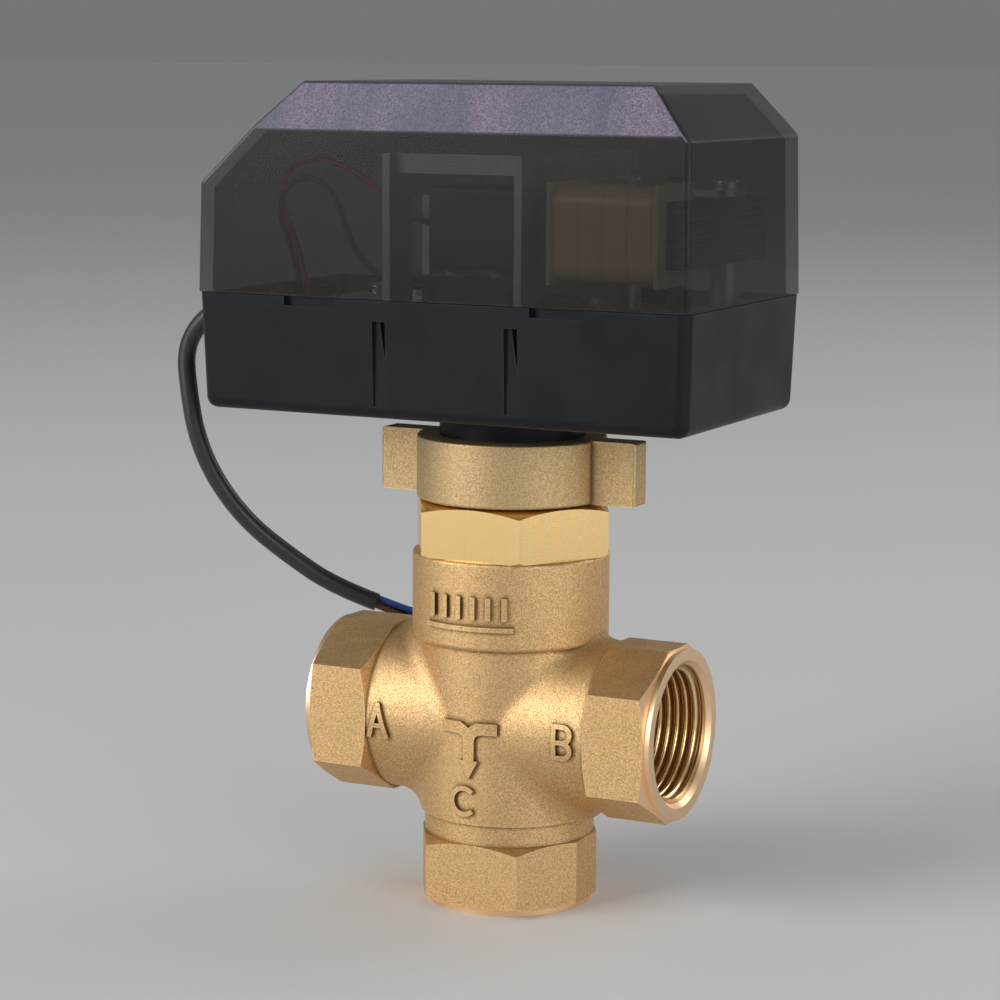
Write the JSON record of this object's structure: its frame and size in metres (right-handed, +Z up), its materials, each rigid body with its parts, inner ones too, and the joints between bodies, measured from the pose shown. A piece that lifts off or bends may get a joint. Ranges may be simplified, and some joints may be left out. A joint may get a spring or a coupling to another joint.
{
  "type": "three way valve",
  "caption": "Motorised three way ball valve: cast brass body with female pipe ports, hexagonal bonnet, and a geared actuator under a smoked cover.",
  "frame": {"origin": "on the stem axis, at the end face of port C, the bottom port", "axes": "+Z up along the stem axis, +X out of port B, -X out of port A, -Y to the front, the side with the port letters"},
  "size_m": [0.1214, 0.0569, 0.1576],
  "materials": {
    "cast_brass": "sand cast, fine sparkling grain",
    "turned_brass": "machined, bright",
    "chrome_ball": "hard chrome, polished",
    "seat_plastic": "white filled fluoropolymer",
    "seal_rubber": "moulded black rubber",
    "base_plastic": "moulded black, satin",
    "cover_plastic": "smoked translucent moulding",
    "zinc_steel": "zinc plated sheet",
    "screw_steel": "zinc plated",
    "gear_plastic": "natural acetal",
    "gear_steel": "sintered steel",
    "shaft_steel": "ground steel",
    "lamination": "stacked varnished sheets",
    "bobbin_plastic": "natural nylon",
    "coil_tape": "amber film tape",
    "magnet": "sintered ferrite",
    "bronze": "oil-filled bronze",
    "switch_plastic": "black moulding",
    "plunger_plastic": "red moulding",
    "capacitor_resin": "dark grey moulding",
    "jacket": "black flexible jacket",
    "blue_insulation": "blue flexible insulation",
    "brown_insulation": "brown flexible insulation",
    "black_insulation": "black flexible insulation",
    "red_insulation": "red flexible insulation"
  },
  "bodies": {
    "valve": {"valve_body": "cast_brass", "seat_a": "seat_plastic", "seat_b": "seat_plastic", "seat_retainers": "turned_brass", "thrust_washer": "seat_plastic", "bonnet": "turned_brass", "bonnet_o_ring": "seal_rubber", "mounting_collar": "cast_brass", "actuator_base": "base_plastic", "base_screws": "screw_steel", "lower_gear_plate": "zinc_steel", "upper_gear_plate": "zinc_steel", "plate_pillars": "zinc_steel", "plate_screws": "screw_steel", "gear_pins": "shaft_steel", "motor_stack": "lamination", "motor_core": "lamination", "motor_bobbin": "bobbin_plastic", "motor_coil": "coil_tape", "motor_strips": "zinc_steel", "rotor_bushes": "bronze", "motor_spacers": "zinc_steel", "motor_screws": "screw_steel", "steel_frame": "zinc_steel", "frame_screws": "screw_steel", "limit_switch_a": "switch_plastic", "limit_switch_b": "switch_plastic", "switch_screws": "screw_steel", "capacitor": "capacitor_resin", "cable_grommet": "jacket", "cable_tail": "jacket", "cable_jacket": "jacket", "wire_blue": "blue_insulation", "wire_black": "black_insulation", "wire_brown": "brown_insulation", "lead_black": "black_insulation", "lead_red": "red_insulation"},
    "spindle": {"ball": "chrome_ball", "stem": "turned_brass", "stem_o_rings": "seal_rubber", "drive_coupling": "gear_steel", "output_gear": "gear_steel", "limit_cam": "seat_plastic"},
    "second_gear": {"second_gear": "gear_plastic"},
    "first_gear": {"first_gear": "gear_plastic"},
    "rotor": {"rotor": "magnet", "rotor_pinion": "bronze"},
    "plunger_a": {"switch_plunger_a": "plunger_plastic"},
    "plunger_b": {"switch_plunger_b": "plunger_plastic"},
    "cover": {"cover": "cover_plastic"}
  },
  "joints": [
    {"name": "stem_turn", "type": "hinge", "parent": "valve", "child": "spindle", "pos_m": [0, 0, 0.0358], "axis": [0, 0, 1], "range_deg": [0, 90]},
    {"name": "second_gear_turn", "type": "hinge", "parent": "valve", "child": "second_gear", "pos_m": [0.02205, -0.00963, 0.108], "axis": [0, 0, 1], "range_deg": [-360, 0]},
    {"name": "first_gear_turn", "type": "hinge", "parent": "valve", "child": "first_gear", "pos_m": [0.03404, 0.00135, 0.111], "axis": [0, 0, 1], "range_deg": [0, 1260]},
    {"name": "rotor_turn", "type": "hinge", "parent": "valve", "child": "rotor", "pos_m": [0.0285, 0.0115, 0.1308], "axis": [0, 0, 1], "range_deg": [-4536, 0]},
    {"name": "plunger_a_travel", "type": "slide", "parent": "valve", "child": "plunger_a", "axis": [0, -1, 0], "range_m": [0, 0.001]},
    {"name": "plunger_b_travel", "type": "slide", "parent": "valve", "child": "plunger_b", "axis": [0, -1, 0], "range_m": [0, 0.001]},
    {"name": "cover_lift", "type": "slide", "parent": "valve", "child": "cover", "axis": [0, 0, 1], "range_m": [0, 0.06]}
  ],
  "couplings": [
    {"joint": "second_gear_turn", "follows": "stem_turn", "ratio": -4},
    {"joint": "first_gear_turn", "follows": "stem_turn", "ratio": 14},
    {"joint": "rotor_turn", "follows": "stem_turn", "ratio": -50.4},
    {"joint": "plunger_a_travel", "follows": "stem_turn", "m_per_rad": 0.00063662},
    {"joint": "plunger_b_travel", "follows": "stem_turn", "m_per_rad": 0.00063662}
  ]
}
